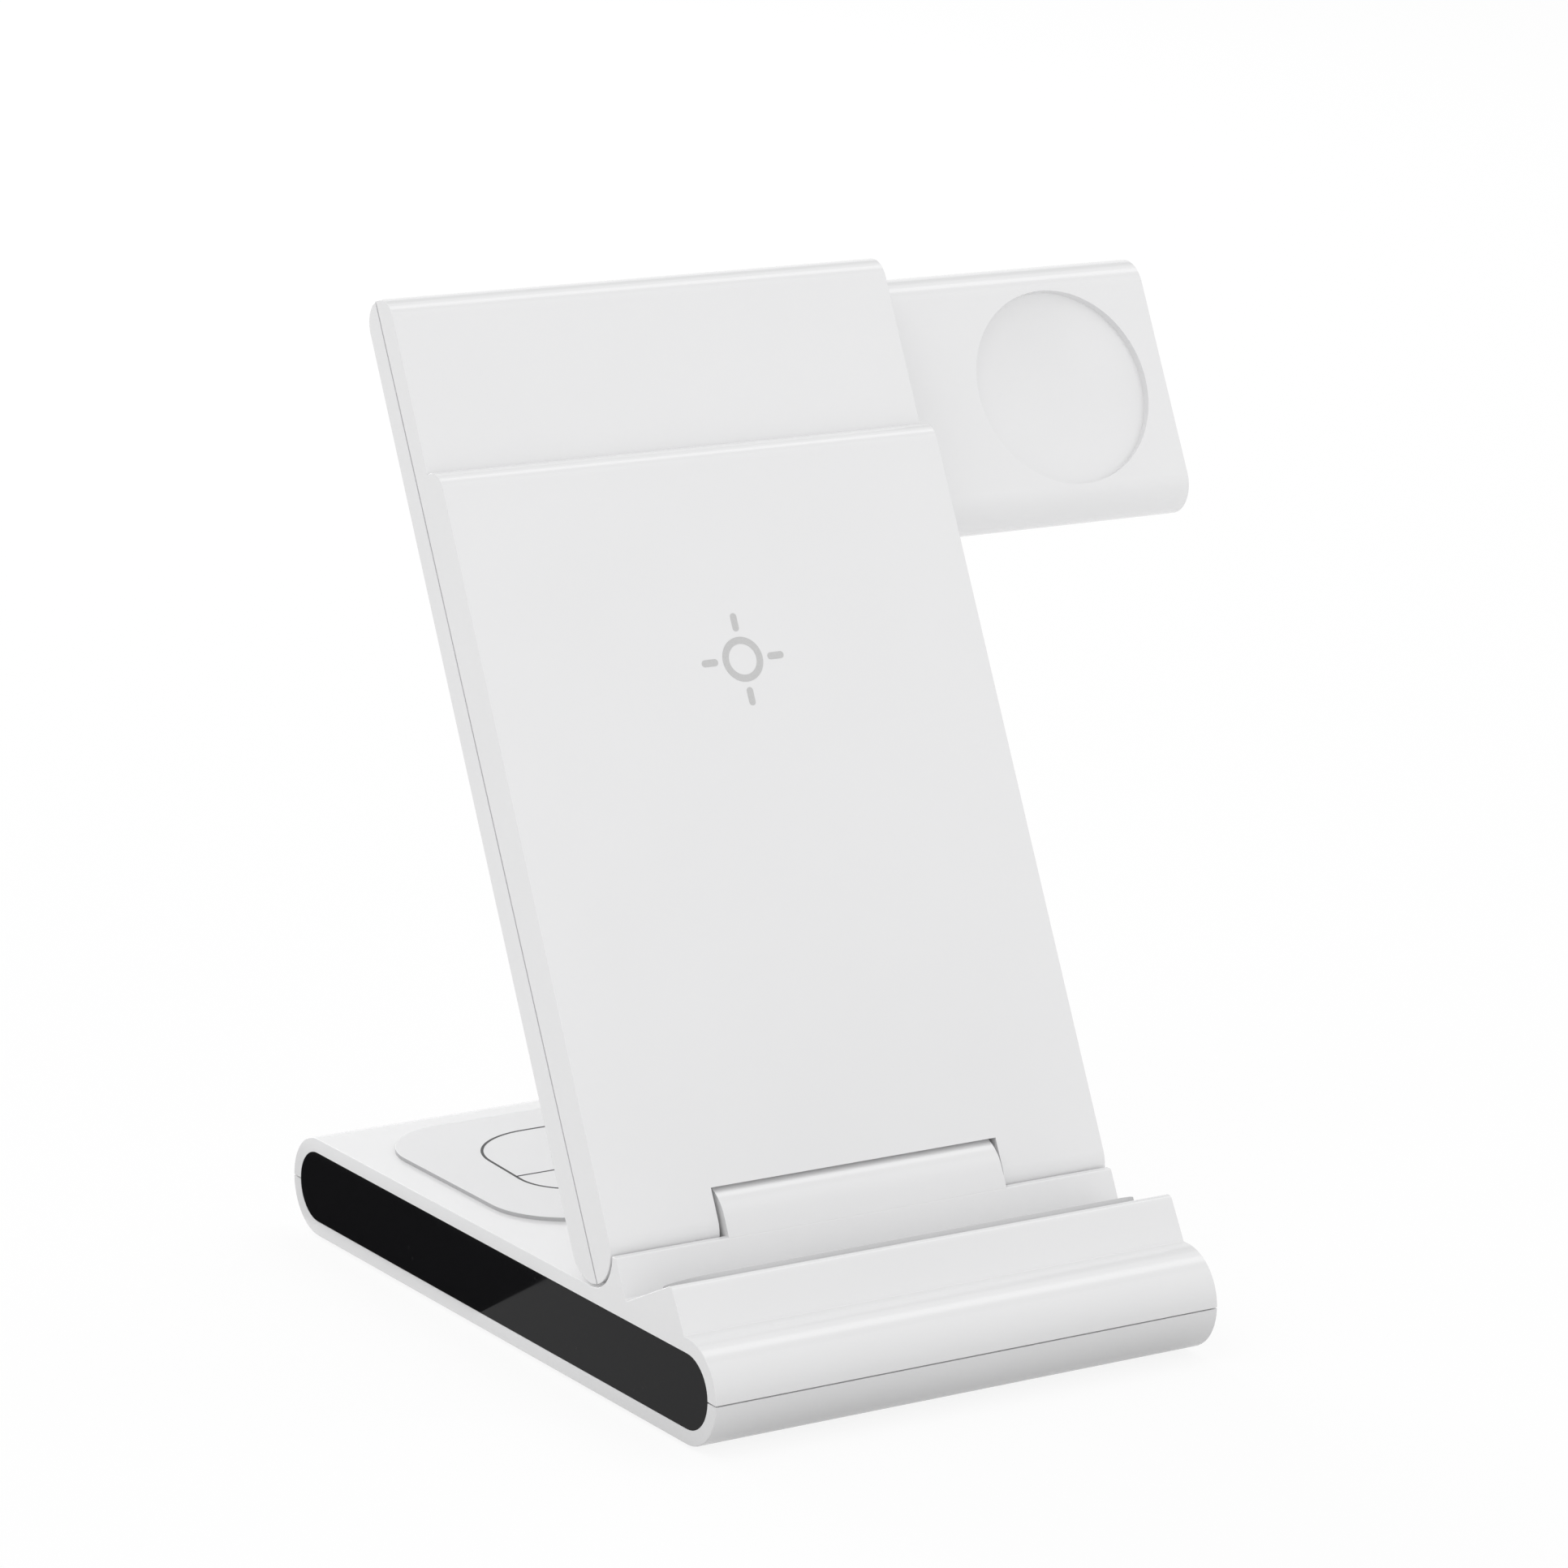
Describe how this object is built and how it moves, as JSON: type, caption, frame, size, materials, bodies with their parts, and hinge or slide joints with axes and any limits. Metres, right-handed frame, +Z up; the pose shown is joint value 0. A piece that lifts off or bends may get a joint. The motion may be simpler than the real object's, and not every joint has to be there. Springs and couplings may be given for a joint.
{
  "type": "three in one wireless charger",
  "caption": "Folding stand that charges a phone on a leaning panel, a watch on a sliding arm and an earbud case on its base.",
  "frame": {"origin": "middle of the underside, on the surface that the charger stands on", "axes": "+X to the right along the hinge, towards the watch arm's end; +Y to the back; +Z up"},
  "size_m": [0.1292, 0.118, 0.14],
  "materials": {
    "pale_plastic": "fine matt",
    "lower_plastic": "fine matt",
    "black_gloss": "polished",
    "grey_rubber": "soft matt",
    "steel": "plain",
    "board": "satin",
    "socket_steel": "plain",
    "copper": "enamelled wire",
    "ferrite": "dull",
    "pad_plastic": "soft matt",
    "grey_grip": "soft matt",
    "bronze": "plain",
    "lead_jacket": "matt",
    "track_aluminium": "plain",
    "dish_plastic": "soft matt",
    "magnet": "nickel plated",
    "runner_plastic": "plain",
    "gold_plate": "plated"
  },
  "bodies": {
    "base": {"base_bottom_shell": "lower_plastic", "base_top_shell": "pale_plastic", "side_inlay_left": "black_gloss", "side_inlay_right": "black_gloss", "underside_mat": "grey_rubber", "base_screws": "steel", "ballast_plate": "steel", "main_board": "board", "usb_c_socket": "socket_steel", "earbud_coil": "copper", "earbud_ferrite": "ferrite", "earbud_pad": "pad_plastic", "ledge_strip": "grey_grip", "friction_sleeve_left": "bronze", "friction_sleeve_right": "bronze", "hinge_lead": "lead_jacket"},
    "panel": {"hinge_shaft_left": "steel", "hinge_shaft_right": "steel", "leaf_screws": "steel", "panel_lead": "lead_jacket", "panel_front_shell": "pale_plastic", "panel_back_shell": "lower_plastic", "phone_coil": "copper", "phone_ferrite": "ferrite", "panel_board": "board", "arm_track": "track_aluminium", "contact_strip": "board"},
    "arm": {"arm_shell": "pale_plastic", "arm_back_cover": "lower_plastic", "watch_dish": "dish_plastic", "watch_coil": "copper", "watch_ferrite": "ferrite", "watch_magnet": "magnet", "arm_board": "board", "arm_lead": "lead_jacket", "arm_runner": "runner_plastic", "runner_screws": "steel", "contact_pins": "gold_plate"}
  },
  "joints": [
    {"name": "panel_hinge", "type": "hinge", "parent": "base", "child": "panel", "pos_m": [0, -0.0266, 0.0207], "axis": [-1, 0, 0], "range_deg": [0, 63.5]},
    {"name": "arm_slide", "type": "slide", "parent": "panel", "child": "arm", "axis": [1, 0, 0], "range_m": [-0.04925, 0]}
  ]
}
